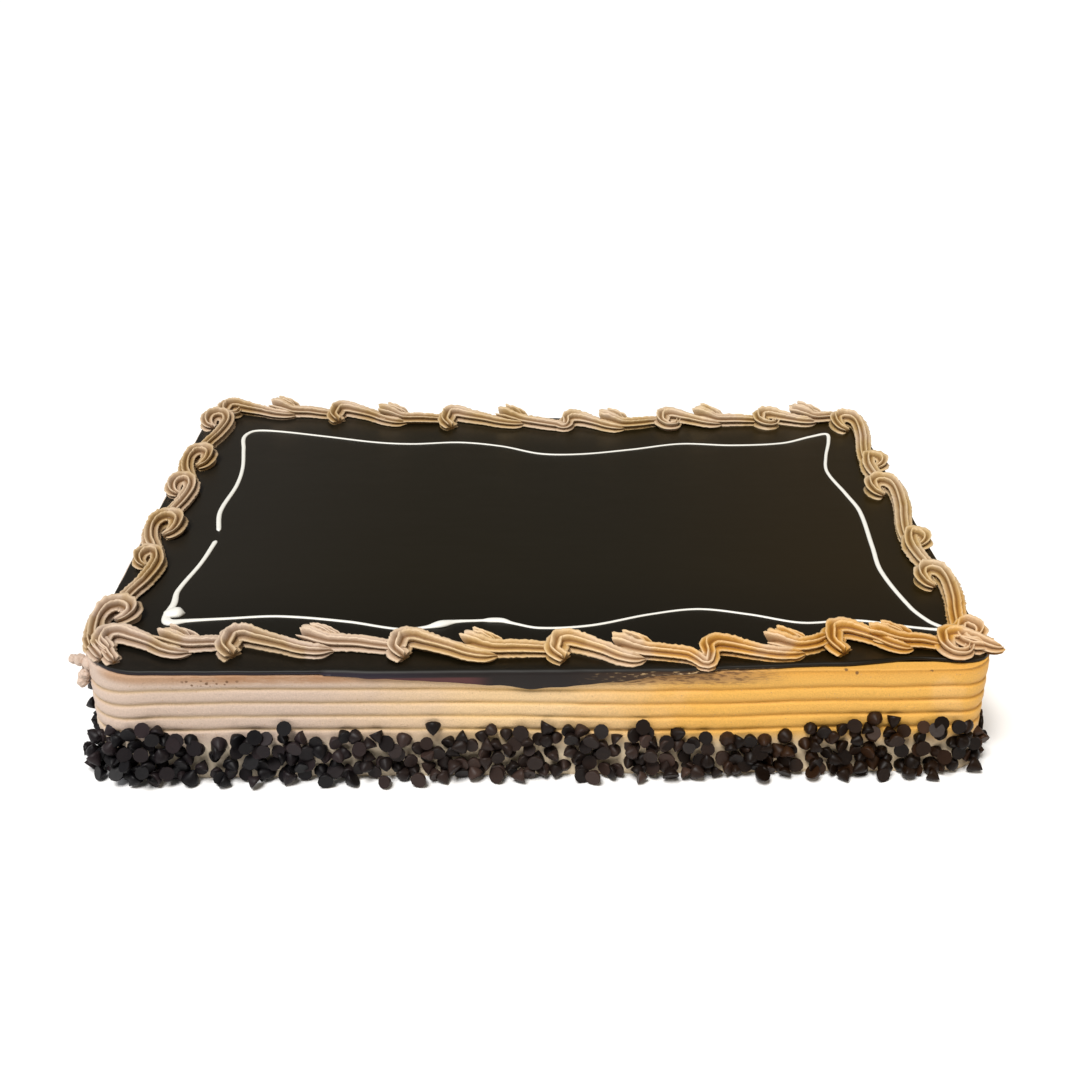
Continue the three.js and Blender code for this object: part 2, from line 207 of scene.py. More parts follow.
def new_piece(name, points, faces, material):
    """A smooth-shaded mesh piece at the origin, from points in millimetres."""
    mesh = bpy.data.meshes.new(name)
    mesh.from_pydata([tuple(p) for p in np.asarray(points) * MM], [], faces)
    mesh.materials.append(material)
    mesh.shade_smooth()
    return in_scene(name, mesh)


def face_outwards(piece):
    shape = bmesh.new()
    shape.from_mesh(piece.data)
    bmesh.ops.recalc_face_normals(shape, faces=shape.faces)
    shape.to_mesh(piece.data)
    shape.free()


table_finish, web = new_material("white_table")
set_shader(web, Base_Color=TABLE_WHITE, Roughness=0.9, Specular_IOR_Level=0.1)
corners = [(x * TABLE_HALF / MM, y * TABLE_HALF / MM, 0) for x, y in ((-1, -1), (1, -1), (1, 1), (-1, 1))]
table = new_piece("table", corners, [(0, 1, 2, 3)], table_finish)

camera = in_scene("camera", bpy.data.cameras.new("camera"))
camera.data.lens = CAMERA_LENS
camera.data.sensor_width = CAMERA_SENSOR
camera.matrix_world = (
    Matrix.Translation(CAMERA_PLACE)
    @ Matrix.Rotation(CAMERA_TURN, 4, "Z")
    @ Matrix.Rotation(math.pi / 2 - CAMERA_DOWN, 4, "X")
    @ Matrix.Rotation(CAMERA_ROLL, 4, "Z")
)
bpy.context.scene.camera = camera


def add_light(name, kind, strength, colour, place, **settings):
    """A light that shines on the cake's middle."""
    light = bpy.data.lights.new(name, kind)
    light.energy = strength
    light.color = colour
    for key, value in settings.items():
        setattr(light, key, value)
    lamp = in_scene(name, light)
    lamp.location = place
    lamp.rotation_euler = (LIT_POINT - Vector(place)).to_track_quat("-Z", "Y").to_euler()


add_light("daylight", "SUN", 3.7, (1, 0.985, 0.96), (-0.5, -0.85, 2.0), angle=math.radians(26))
add_light("window", "AREA", 5, (0.93, 0.95, 1), (-1.5, -0.5, 0.9), size=1.0)
add_light("warm_lamp", "AREA", 4, (1, 0.82, 0.6), (1.4, -0.7, 0.8), size=0.6)

world = bpy.data.worlds.new("room")
world.use_nodes = True
room = world.node_tree.nodes["Background"]
room.inputs["Color"].default_value = ROOM_COLOUR
room.inputs["Strength"].default_value = ROOM_STRENGTH
bpy.context.scene.world = world
bpy.context.scene.view_settings.view_transform = "Standard"

# ---- the combed buttercream block ----
# The cake is coated in cocoa buttercream, and a toothed comb was drawn round its sides, which left
# level grooves. The cream is pinkish on the left and turns golden towards the right, which is painted
# warm light from the right.
LENGTH = 457
DEPTH = 343
HEIGHT = 63
# What the glaze keeps clear of the block.
GAP = 0.3
CORNER_RADII = (34, 20, 12, 14)
GLAZE_THICKNESS = 1.7
BODY_TOP = HEIGHT - GLAZE_THICKNESS - GAP
HALF_X = LENGTH / 2
HALF_Y = DEPTH / 2
GROOVE_PITCH = 7.9
GROOVE_TOP = 52.2
GROOVE_COUNT = 4
GROOVE_DEPTH = 0.8
# How much deeper or shallower a groove gets along its way, as a share of its depth.
GROOVE_UNEVEN = 0.7
REACH_ABOVE = 1.5
REACH_BELOW = 0.8
# Above this the wall is plain, but for a last groove that deepens to the right, as (x, share).
COMBED_UP_TO = GROOVE_TOP + 3
LAST_GROOVE = ((64, 0), (144, 1))
BAND_BULGE = 0.22
PLAIN_BULGE = 0.2
TORN_RELIEF = 0.16
SLOW_RELIEF = 0.5
# How uneven the comb's way is, which fades out towards the foot and the top edge.
COMB_WAVE = 0.7
FOOT_FADE = 20
TOP_FADE = 6
# How far the grooves drop along the front, as (x, drop), how soon that fades behind the front, and
# how far they drop where the hand turned a corner, as (drop, where it starts and ends from the end).
COMB_DROP = ((-120, 0), (90, 2.5), (165, 1.6), (230, 1.0))
DROP_FADE = 60
LEFT_TURN = (6, 40, 2)
RIGHT_TURN = (2, 24, 2)
# Heights of the block's rings: from the foot up, from the top down, and from each groove.
FOOT_LEVELS = (0, 3, 6, 9, 14, 17)
TOP_LEVELS = (2.2, 1.6, 1.1, 0.6)
GROOVE_LEVELS = (-3.4, -2.3, -1.6, -1.15, -0.8, -0.5, -0.2, 0.1, 0.4, 0.75, 1.1, 1.6, 2.3, 3.4)
# The last rings round the top edge, as (how far in, how far down).
EDGE_RINGS = ((0.5, 0.15), (1.3, 0.0))
COLUMN_STEP = 2.0
CORNER_STEPS = 9
# How far the back edge bows in towards the front, as (x, distance).
BACK_BOW = ((-215, 0), (-60, 9), (30, 15), (229, 10))


def bumps(x, y, z, scale):
    """Smooth noise from -1 to 1 whose lumps are about scale across."""
    return noise.noise(Vector((x / scale, y / scale, z / scale)))


def share_between(value, start, end):
    """0 at start and 1 at end, and the even share between them."""
    return min(max((value - start) / (end - start), 0), 1)


def smooth_share(t):
    t = share_between(t, 0, 1)
    return t * t * (3 - 2 * t)


def through(knots, x):
    """The value at x of a smooth line through the knots."""
    i = 0
    while i < len(knots) - 2 and x > knots[i + 1][0]:
        i += 1
    (x0, v0), (x1, v1) = knots[i], knots[i + 1]
    return v0 + (v1 - v0) * smooth_share((x - x0) / (x1 - x0))


def outline(inset=0.0):
    """The cake's outline from above, as points and outward normals, from the front left corner."""
    points = []
    normals = []
    signs = ((-1, -1), (1, -1), (1, 1), (-1, 1))
    for corner, (sx, sy) in enumerate(signs):
        radius = CORNER_RADII[corner]
        centre = np.array((sx * (HALF_X - radius), sy * (HALF_Y - radius)))
        for turn in range(CORNER_STEPS + 1):
            angle = math.pi * (1 + corner / 2) + math.pi / 2 * turn / CORNER_STEPS
            normal = np.array((math.cos(angle), math.sin(angle)))
            points.append(centre + normal * (radius - inset))
            normals.append(normal)
        nx, ny = signs[(corner + 1) % 4]
        radius = CORNER_RADII[(corner + 1) % 4]
        angle = math.pi * (1.5 + corner / 2)
        normal = np.array((math.cos(angle), math.sin(angle)))
        start = points[-1]
        end = np.array((nx * (HALF_X - radius), ny * (HALF_Y - radius))) + normal * (radius - inset)
        count = int(np.linalg.norm(end - start) / COLUMN_STEP)
        for place in range(1, count):
            points.append(start + (end - start) * place / count)
            normals.append(normal)
    points = np.array(points)
    bow = np.array([through(BACK_BOW, x) for x in points[:, 0]])
    points[:, 1] *= np.where(points[:, 1] > 0, 1 - bow / HALF_Y, 1)
    return points, np.array(normals)


wall, wall_normals = outline()
wall_length = np.linalg.norm(np.roll(wall, -1, axis=0) - wall, axis=1)
wall_distance = np.concatenate(([0], np.cumsum(wall_length)))


def on_wall(distance, out=0.0):
    """The point on the outline at a distance along it, moved outwards, and its normal."""
    distance = distance % wall_distance[-1]
    i = min(int(np.searchsorted(wall_distance, distance, side="right")) - 1, len(wall) - 1)
    share = (distance - wall_distance[i]) / wall_length[i]
    point = wall[i] + (wall[(i + 1) % len(wall)] - wall[i]) * share
    normal = wall_normals[i] * (1 - share) + wall_normals[(i + 1) % len(wall)] * share
    normal = normal / np.linalg.norm(normal)
    return point + normal * out, normal


def comb_levels():
    """Heights of the block's rings, closest together at the grooves."""
    grooves = [GROOVE_TOP - i * GROOVE_PITCH for i in range(GROOVE_COUNT)]
    levels = {groove + beside for groove in grooves for beside in GROOVE_LEVELS}
    return sorted(levels | set(FOOT_LEVELS) | {BODY_TOP - drop for drop in TOP_LEVELS})


def comb_offset(x, y, level):
    """How far the combed surface stands out from the plain wall, and how deep in a groove it is."""
    place = (GROOVE_TOP - level) / GROOVE_PITCH
    above = (round(place) - place) * GROOVE_PITCH
    depth = math.exp(-((above / (REACH_ABOVE if above > 0 else REACH_BELOW)) ** 2))
    bulge = BAND_BULGE * math.sin(math.pi * abs(above) / GROOVE_PITCH)
    if level >= COMBED_UP_TO:
        depth *= through(LAST_GROOVE, x)
        bulge = PLAIN_BULGE
    uneven = 1 + GROOVE_UNEVEN * bumps(x, y, level * 6, 26)
    relief = TORN_RELIEF * bumps(x, y, level * 2, 3.2) + SLOW_RELIEF * bumps(x, y, level, 60)
    return bulge - GROOVE_DEPTH * uneven * depth + relief, depth


def turn_drop(from_end, drop, start, end):
    """How far the grooves drop at a place near a corner, given how far it is from the cake's end."""
    return drop * share_between(from_end, start, end) ** 1.5


def comb_sag(x, y):
    """How far the comb's grooves drop along the front and where the hand turned round its corners."""
    near = math.exp(-max(0, y + 160) / DROP_FADE)
    turns = turn_drop(HALF_X + x, *LEFT_TURN) + turn_drop(HALF_X - x, *RIGHT_TURN)
    return near * (turns + through(COMB_DROP, x))


levels = comb_levels()
points = []
groove_marks = []
faces = []
columns = len(wall)
for level in levels:
    hold = min(level / FOOT_FADE, (BODY_TOP - level) / TOP_FADE, 1)
    for (x, y), normal in zip(wall, wall_normals):
        out, depth = comb_offset(x, y, level)
        wave = COMB_WAVE * hold * (bumps(x, y, 0, 70) + 0.35 * bumps(x, y, 3, 14))
        wave -= hold * comb_sag(x, y)
        points.append((x + normal[0] * out, y + normal[1] * out, max(level + wave, 0)))
        groove_marks.append(depth)
for inset, drop in EDGE_RINGS:
    for x, y in outline(inset)[0][:columns]:
        points.append((x, y, BODY_TOP - drop))
        groove_marks.append(0)
rings = len(levels) + len(EDGE_RINGS)
for r in range(rings - 1):
    for c in range(columns):
        d = (c + 1) % columns
        faces.append((r * columns + c, r * columns + d, (r + 1) * columns + d, (r + 1) * columns + c))
faces.append(tuple(range(columns - 1, -1, -1)))
faces.append(tuple((rings - 1) * columns + c for c in range(columns)))

PINK_CREAM = (0.545, 0.42, 0.34, 1)
PALE_CREAM = (0.74, 0.52, 0.28, 1)
WARM_LIT_CREAM = (0.72, 0.395, 0.083, 1)
PALE_PATCH = (0.80, 0.60, 0.42, 1)
DUSKY_CREAM = (0.50, 0.355, 0.21, 1)
BEIGE_CREAM = (0.63, 0.47, 0.28, 1)
GROOVE_SHADE_TONE = (0.82, 0.76, 0.58)
GLAZE_SHADOW_TONE = (0.76, 0.60, 0.45)
SMEAR_AND_PIT_SHADE = (0.12, 0.055, 0.02, 1)
STAIN_BROWN = (0.33, 0.185, 0.075, 1)
TINT_BROWN = (0.42, 0.25, 0.135, 1)
GAP_PAINTED_LIGHT = (0.90, 0.77, 0.57, 1)
# Where marks on the front come and go, in metres.
SMEAR_X = ((0.02, 0.05), (0.09, 0.13))
TINT_X = ((-0.19, -0.165), (-0.11, -0.05))
TORN_X = ((-0.180, -0.170), (-0.152, -0.140))
TORN_Z = ((0.0545, 0.0555), (0.0580, 0.0590))


def cream_colour(web, patchy, turn):
    """Where a point lies, and the buttercream's colour there: pinkish, then pale, then golden from left
    to right, the golden being painted warm light from the right, with patches, and duller behind the two
    y of turn."""
    place = web.place()
    x, y, z = web.split(place)
    patches = web.noise(place, 22, 3)
    shifted = x + (patches - 0.5) * 0.09
    colour = web.layered(
        PINK_CREAM,
        (web.step(shifted, -0.13, -0.01), PALE_CREAM),
        # Golden towards the right: painted warm light from the right.
        (web.step(shifted, 0.01, 0.09), WARM_LIT_CREAM),
        (web.step(patches, 0.57, 0.66) * web.step(x, 0, 0.05) * patchy, PALE_PATCH),
        (web.step(y, *turn), web.blend(web.step(shifted, -0.2, 0.1), DUSKY_CREAM, BEIGE_CREAM)),
    )
    return place, x, y, z, web.scaled(colour, 0.78 + web.noise(place, 1300, 3) * 0.44)


def cream_bump(web, place, strength=0.35):
    """Fine pores and the slight graininess of whipped buttercream."""
    return web.bump(web.noise(place, 1500, 3) * 0.5 - web.specks(place, 520, 0.04, 0.3), strength, 0.0004)


def smear_streaks(web, place):
    """Short level streaks, where a knife dragged cream and glaze into each other."""
    drawn = web.flow("ShaderNodeMapping", inputs={"Vector": place, "Scale": (260, 900, 1500)})
    return web.noise(drawn, 1, 5)


comb_finish, web = new_material("combed_buttercream")
place, x, y, z, colour = cream_colour(web, 0.12, (-0.17, 0.12))
# Painted shade in the comb's grooves, darkest where they are deepest.
colour = web.tinted(web.mark("groove"), colour, GROOVE_SHADE_TONE)
on_front = 1 - web.step(y, -HALF_Y * MM + 0.002, -HALF_Y * MM + 0.012)
streaks = smear_streaks(web, place)
blotch = web.noise(place, 60, 4)
smear = web.within(x, *SMEAR_X) * web.step(z, 0.0520, 0.0565) * on_front
tint = web.within(x, *TINT_X) * web.step(z, 0.0545, 0.058) * on_front
# Painted shadow of the glaze's edge on the wall just below it, weaker to the right.
shaded = web.step(z, 0.0545, 0.059) * on_front * (1 - web.step(x, -0.02, 0.1) * 0.7)
holed = web.step(blotch, 0.5, 0.56) * web.step(z, 0.050, 0.056) * on_front
torn = web.within(x, *TORN_X) * web.within(z, *TORN_Z) * on_front
colour = web.layered(
    colour,
    # Glaze that a knife dragged into the cream, right of the drip.
    (smear * 0.75, STAIN_BROWN),
    (smear * web.step(streaks, 0.46, 0.6) * 0.85, SMEAR_AND_PIT_SHADE),
    # A brown tint below the glaze's edge.
    (tint * web.step(blotch + streaks, 0.8, 1.15) * 0.6, TINT_BROWN),
)
# The painted shadow under the glaze's edge goes on first, then the marks below.
colour = web.layered(
    web.tinted(shaded, colour, GLAZE_SHADOW_TONE),
    # Cocoa flecks everywhere, and the cream low between the chips painted paler, as painted light against
    # the shade there.
    (web.specks(place, 260, 0.05, 0.12) * 0.6, TINT_BROWN),
    ((1 - web.step(z, 0.015, 0.026)) * 0.75, GAP_PAINTED_LIGHT),
    # Air holes and torn pits near the top edge, as dark specks: painted shade of holes the mesh doesn't
    # have.
    (web.specks(place, 130, 0.08, 0.15) * holed * 0.85, SMEAR_AND_PIT_SHADE),
    (web.specks(place, 380, 0.2, 0.38) * torn * 0.9, SMEAR_AND_PIT_SHADE),
)
set_shader(web, Base_Color=colour, Roughness=0.6, Specular_IOR_Level=0.35,
           Normal=cream_bump(web, place))

block = new_piece("combed_buttercream", points, faces, comb_finish)
mark = block.data.attributes.new("groove", "FLOAT", "POINT")
mark.data.foreach_set("value", groove_marks)
face_outwards(block)
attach(block, "root")
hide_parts("frosted_cake")

# ---- the chocolate chips ----
# Small blunt cones of dark chocolate, pressed by hand into the soft buttercream round the foot. A few
# have rolled onto the table, and more have gathered at the front left corner.
CHIP_DIAMETER = 8.1
CHIP_HEIGHT = 6.0
# As shares of its own size: how a chip narrows, its tip's width, and the height it is held by.
CHIP_TAPER = 0.78
CHIP_TIP = 0.3
CHIP_SEAT = 0.4
TIP_OUT_SHARE = 0.4
BAND_TOP = 25
TABLE_GAP = 0.1
chance = random.Random(7)


def new_tree(name, **sockets):
    """A Geometry Nodes tree with a named input for each socket, as its web and its inputs."""
    tree = bpy.data.node_groups.new(name, "GeometryNodeTree")
    tree.interface.new_socket("Geometry", in_out="INPUT", socket_type="NodeSocketGeometry")
    for title, kind in sockets.items():
        tree.interface.new_socket(title.replace("_", " "), in_out="INPUT", socket_type="NodeSocket" + kind)
    tree.interface.new_socket("Geometry", in_out="OUTPUT", socket_type="NodeSocketGeometry")
    web = Web(tree)
    entry = web.node("NodeGroupInput")
    return web, {socket.name: Flow(web, socket) for socket in entry.outputs if socket.name}


def finish_tree(web, shape, material, smooth=True):
    """Ends a tree: realized, smooth where it should be, with its material."""
    shape = web.flow("GeometryNodeRealizeInstances", inputs={0: shape})
    shape = web.flow("GeometryNodeSetShadeSmooth", inputs={"Geometry": shape, "Shade Smooth": smooth})
    shape = web.flow("GeometryNodeSetMaterial", inputs={"Geometry": shape, "Material": material})
    web.node("NodeGroupOutput", inputs={0: shape})
    return web.tree


def stored(web, shape, name, value, kind="FLOAT", domain="POINT"):
    return web.flow(
        "GeometryNodeStoreNamedAttribute",
        {"data_type": kind, "domain": domain},
        {"Geometry": shape, "Name": name, "Value": value},
    )


def recalled(web, name, kind="FLOAT"):
    return web.flow("GeometryNodeInputNamedAttribute", {"data_type": kind}, {"Name": name})


def start_mesh(name, points, edges=(), **attributes):
    """A bare object of points in millimetres with numbers or vectors on them, for a tree to read."""
    mesh = bpy.data.meshes.new(name)
    mesh.from_pydata([tuple(p) for p in np.asarray(points) * MM], list(edges), [])
    for title, values in attributes.items():
        values = np.asarray(values, dtype=float)
        flat = values.ndim == 1
        layer = mesh.attributes.new(title, "FLOAT" if flat else "FLOAT_VECTOR", "POINT")
        layer.data.foreach_set("value" if flat else "vector", values.ravel())
    return in_scene(name, mesh)


def grown(piece, tree, **values):
    """Runs a tree on a start mesh with its named inputs set, and keeps the result as its plain mesh."""
    modifier = piece.modifiers.new("shape", "NODES")
    modifier.node_group = tree
    for socket in tree.interface.items_tree:
        key = socket.name.replace(" ", "_")
        if socket.in_out == "INPUT" and key in values:
            modifier[socket.identifier] = values[key]
    view = bpy.context.evaluated_depsgraph_get()
    mesh = bpy.data.meshes.new_from_object(piece.evaluated_get(view), preserve_all_data_layers=True,
                                           depsgraph=view)
    piece.modifiers.clear()
    piece.data = mesh
    mesh.name = piece.name


def chip_tree():
    """Sets one chip on each point: a cone with a round foot and a blunt tip."""
    web, given = new_tree("chip_on_each_point", Diameter="Float", Height="Float", Sides="Int",
                          Rings="Int", Material="Material")
    cone = web.node("GeometryNodeMeshCone", {"fill_type": "NGON"}, {
        "Vertices": given["Sides"], "Side Segments": given["Rings"], "Radius Top": 1.0,
        "Radius Bottom": 1.0, "Depth": 1.0})
    round_side = 1 - Flow(web, cone.outputs["Bottom"])
    cone = stored(web, Flow(web, cone.outputs["Mesh"]), "round_side", round_side, domain="FACE")
    x, y, z = web.split(web.flow("GeometryNodeInputPosition"))
    # The edge of its foot is rounded, its side tapers, and its tip is blunt.
    foot = web.maths("MINIMUM", 1 - web.maths("MAXIMUM", 1 - z * 9, 0) ** 2 * 0.07, 1)
    body = 1 - z ** 1.25 * CHIP_TAPER
    tip = web.maths("SQRT", web.maths("MAXIMUM", 1 - z ** 4.5, 0.02))
    radius = foot * body * tip * given["Diameter"] * 0.5
    place = web.joined(x * radius, y * radius, (z - CHIP_SEAT) * given["Height"])
    cone = web.flow("GeometryNodeSetPosition", inputs={"Geometry": cone, "Position": place})
    chips = web.flow("GeometryNodeInstanceOnPoints", inputs={
        "Points": given["Geometry"], "Instance": cone, "Rotation": recalled(web, "turned", "FLOAT_VECTOR"),
        "Scale": recalled(web, "size", "FLOAT_VECTOR")})
    chips = stored(web, chips, "shade", web.flow("FunctionNodeRandomValue", {"data_type": "FLOAT"},
                                                 {"Seed": 5}), domain="INSTANCE")
    return finish_tree(web, chips, given["Material"], recalled(web, "round_side", "BOOLEAN"))


chip_finish, web = new_material("dark_chocolate")
place = web.place()
across = web.split(place)[0]
shade = web.mark("shade")
# Cool at the left, browner in the middle and warm at the right: a painted cast of the cool light at the left
# and the warm light at the right. Each chip also gets its own random tone.
cool = web.blend(shade ** 3, (0.0040, 0.0034, 0.0042, 1), (0.022, 0.0145, 0.016, 1))
brown = web.blend(shade ** 2, (0.0080, 0.0046, 0.0036, 1), (0.055, 0.032, 0.025, 1))
warm = web.blend(shade ** 2, (0.0050, 0.0018, 0.0004, 1), (0.034, 0.013, 0.004, 1))
bloom = web.noise(place, 350, 3)
colour = web.blend(web.step(across, -0.12, -0.02), cool, brown)
colour = web.blend(web.step(across, 0.05, 0.13), colour, warm)
set_shader(web, Base_Color=colour, Roughness=0.34 + bloom * 0.25, Specular_IOR_Level=0.16,
           Normal=web.bump(bloom, 0.25, 0.0003))

around = wall_distance[-1]
# Where the band of chips climbs or dips, as (distance along the wall, height, reach).
CLIMBS = ((-30, -8, 30), (14, -8, 18), (60, 5, 20), (488, -4, 16), (170, 3, 14), (268, 4, 30), (330, -1, 12),
          (412, 6, 34), (455, 5, 12))
# Single chips that stuck above the band, as (distance along the wall, height, how far out).
STRAYS = ((196, 30, 2.2), (417, 33, 2.2), (426, 32, 2.2), (122, 31, 2.2), (300, 30, 2.2), (-9, 38, 5),
          (-4, 32, 5), (3, 25, 5))
# How much deeper the chips sit in the end walls.
SIDE_PRESS = 2.2
# How often a place for one more chip is looked for before a layer counts as full.
TRIES = 30
chips = []


def add_chip(distance, height, out, lean, size=1.0):
    """One chip beside the wall, its flat foot or its tip outwards, leaning by up to lean."""
    (x, y), (nx, ny) = on_wall(distance, out - SIDE_PRESS * abs(on_wall(distance)[1][0]))
    facing = Vector((nx, ny, 0)) * (1 if chance.random() < TIP_OUT_SHARE else -1)
    stray = Vector((chance.gauss(0, 1), chance.gauss(0, 1), chance.gauss(0, 1)))
    facing = (facing + stray * lean).normalized()
    turn = facing.to_track_quat("Z", "Y").to_euler()
    scale = size * chance.uniform(0.92, 1.1)
    tall = size * chance.uniform(0.8, 1.15)
    sideways = math.sqrt(max(0, 1 - facing.z ** 2)) * CHIP_DIAMETER / 2 * scale
    upright = facing.z * CHIP_HEIGHT * tall
    foot_reach = sideways + CHIP_SEAT * upright
    tip_reach = CHIP_TIP * sideways - (1 - CHIP_SEAT) * upright
    height = max(height, max(foot_reach, tip_reach) + TABLE_GAP)
    chips.append(((x, y, height), tuple(turn), (scale, scale, tall)))


def top_of_band(distance):
    (x, y), normal = on_wall(distance)
    top = BAND_TOP + 5.5 * bumps(x, y, 9, 30) + 4 * bumps(x, y, 2, 9)
    for spot, height, reach in CLIMBS:
        away = (distance - spot + around / 2) % around - around / 2
        top += height * math.exp(-((away / reach) ** 2))
    return top


def scatter(count, gap, low, high, out, lean, span=(0, around)):
    """Throws chips at a span of the band, each at least gap from the others of its layer."""
    cells = {}
    placed = 0
    for _ in range(count * TRIES):
        if placed >= count:
            break
        distance = chance.uniform(*span)
        height = chance.uniform(low, high(distance))
        column, row = int(distance // gap), int(height // gap)
        near = [cells.get((column + i, row + j), []) for i in (-1, 0, 1) for j in (-1, 0, 1)]
        if any(math.hypot(distance - d, height - h) < gap for cell in near for d, h in cell):
            continue
        cells.setdefault((column, row), []).append((distance, height))
        add_chip(distance, height, chance.uniform(*out), lean, chance.uniform(0.9, 1.1))
        placed += 1


# The chips in the cream, those stuck on them, and those on the table.
scatter(1500, 6.15, 3.2, top_of_band, (1.3, 2.8), 0.42)
scatter(270, 9.4, 3, lambda d: top_of_band(d) - 4, (3.4, 5.4), 0.65)
scatter(80, 12, 2.5, lambda d: 3.2, (5.5, 9), 1.0)
# The heap at the front left corner.
scatter(34, 7.0, 3, lambda d: 20, (5, 8), 0.9, span=(20, 66))
scatter(14, 6.5, 3, lambda d: 12, (8, 11), 0.9, span=(14, 52))
for distance, height, out in STRAYS:
    add_chip(distance, height, out, 0.5)

chip_points, chip_turns, chip_sizes = zip(*chips)
heap = start_mesh("chocolate_chips", chip_points, turned=chip_turns, size=chip_sizes)
grown(heap, chip_tree(), Diameter=CHIP_DIAMETER * MM, Height=CHIP_HEIGHT * MM, Sides=11, Rings=4,
      Material=chip_finish)
face_outwards(heap)
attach(heap, "root")
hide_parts("frosted_cake")

# ---- the poured glaze ----
# Dark chocolate glaze, poured warm over the chilled cake and spread to its edges. It set smooth and
# glossy, with a soft rim, and ran over the front edge in one broad, shallow drip at the middle.
APRON_THICKNESS = 1.5
OVERHANG = GAP + APRON_THICKNESS
GLAZE_INSET = 1.2
RIM_SWELL = 0.3
HANGING_CURVE = 2.4
RESTING_CURVE = 1.1
FLAT_INSET = 7
# The height of the drip's lower edge, and how far the front edge lies in from the cake's, both by x.
DRIP = ((-208, 61.3), (-150, 61.1), (-120, 60.6), (-100, 60.1), (-75, 59), (-45, 57), (-20, 54.8),
        (-2, 52.6), (14, 54), (42, 56.5), (60, 59.2), (74, 61.2), (100, 61.3))
FRONT_EDGE = ((-222, 1.2), (-200, 0.5), (-150, 0.1), (-110, -0.4), (-70, -OVERHANG), (70, -OVERHANG),
              (96, 0.5), (150, 3), (190, 7.5), (215, 5))
UNDERSIDE = BODY_TOP + GAP


def glaze_ring(point, normal):
    """The glaze's section at one place on its edge, from the underside out and over to the top."""
    x, y = point
    on_front = max(0.0, -normal[1]) ** 4
    inset = GLAZE_INSET + 0.5 * bumps(x, y, 0, 18)
    if on_front > 0:
        inset = inset * (1 - on_front) + through(FRONT_EDGE, x) * on_front
        inset += on_front * 0.35 * bumps(x, 0, 5, 11)
    hangs = inset < -GAP
    lower = min(through(DRIP, x) + 0.5 * bumps(x, 3, 0, 9), UNDERSIDE - 0.05) if hangs else UNDERSIDE
    rim = RIM_SWELL * on_front
    curve = HANGING_CURVE if hangs else RESTING_CURVE
    inner = inset + APRON_THICKNESS
    section = [
        (inner, UNDERSIDE if not hangs else lower + 0.2), (inner - 0.5, lower), (inset + 0.5, lower - 0.02),
        (inset + 0.12, lower + 0.2), (inset, lower + 0.45),
    ]
    for turn in (0, 20, 40, 60, 80):
        turn = math.radians(turn)
        section.append((inset + curve * (1 - math.cos(turn)),
                        HEIGHT - curve * (1 - math.sin(turn)) + rim * math.sin(turn)))
    section += [(inset + curve + 1.2, HEIGHT + rim * 0.6), (inset + FLAT_INSET, HEIGHT)]
    return [(x - normal[0] * back, y - normal[1] * back, height) for back, height in section]


glaze_finish, web = new_material("chocolate_glaze")
place = web.place()
x, y, z = web.split(place)
drawn = web.noise(web.flow("ShaderNodeMapping", inputs={"Vector": place, "Scale": (9, 60, 9)}), 1, 4)
ripple = web.noise(place, 30, 2)
# Greenish black at the left and brown at the right, a painted cast of the cool light at the left and
# the warm light at the right, and darker by the front border.
colour = web.blend(web.step(x, -0.22, -0.05), (0.0130, 0.0108, 0.0075, 1), (0.0088, 0.0064, 0.0020, 1))
colour = web.blend(web.step(x, 0.02, 0.2), colour, (0.0150, 0.0090, 0.0015, 1))
rim = 1 - web.step(y, -0.1690, -0.1655)
edge = 1 - web.step(z, 0.0616, 0.0629)
ruddy = edge * web.within(x, (-0.11, -0.07), (-0.035, -0.02)) * (1 - web.step(z, 0.0592, 0.0605))
dragged = (1 - web.step(y, -0.1712, -0.1680)) * web.step(x, 0.01, 0.085) * (1 - web.step(z, 0.0612, 0.0625))
flecks = web.step(smear_streaks(web, place) + web.step(x, 0.0, 0.06) * 0.07, 0.62, 0.70)
colour = web.layered(
    web.blend(web.step(y, -0.165, -0.06), web.scaled(colour, 0.5), colour),
    # Its edge, where it is thin: browner, with a painted bluish reflection on it at the left, and a
    # ruddy stretch beside the drip.
    (edge * (1 - web.step(x, 0.05, 0.09)), (0.0095, 0.0058, 0.0050, 1)),
    (edge * (1 - web.step(x, -0.09, -0.03)), (0.016, 0.011, 0.020, 1)),
    (ruddy, (0.085, 0.026, 0.026, 1)),
    # Cream that a knife dragged into it, right of the drip.
    (dragged * 0.8, (0.085, 0.040, 0.015, 1)),
    (dragged * flecks, (0.56, 0.38, 0.19, 1)),
)
set_shader(web, Base_Color=colour, Roughness=0.26 + drawn * 0.12 + rim * 0.2,
           Specular_IOR_Level=0.28, Normal=web.bump(ripple + drawn * 0.25, 0.12, 0.002))

sections = [glaze_ring(p, n) for p, n in zip(wall, wall_normals)]
size = len(sections[0])
points = [point for section in sections for point in section]
faces = []
for c in range(columns):
    d = (c + 1) % columns
    for r in range(size - 1):
        faces.append((c * size + r, d * size + r, d * size + r + 1, c * size + r + 1))
faces.append(tuple(c * size + size - 1 for c in range(columns)))
under = len(points)
for (x, y), normal in zip(wall, wall_normals):
    points.append((x - normal[0] * FLAT_INSET, y - normal[1] * FLAT_INSET, UNDERSIDE))
for c in range(columns):
    d = (c + 1) % columns
    faces.append((c * size, under + c, under + d, d * size))
faces.append(tuple(under + c for c in range(columns - 1, -1, -1)))
glaze = new_piece("poured_glaze", points, faces, glaze_finish)
face_outwards(glaze)
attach(glaze, "root")
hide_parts("chocolate_glaze")

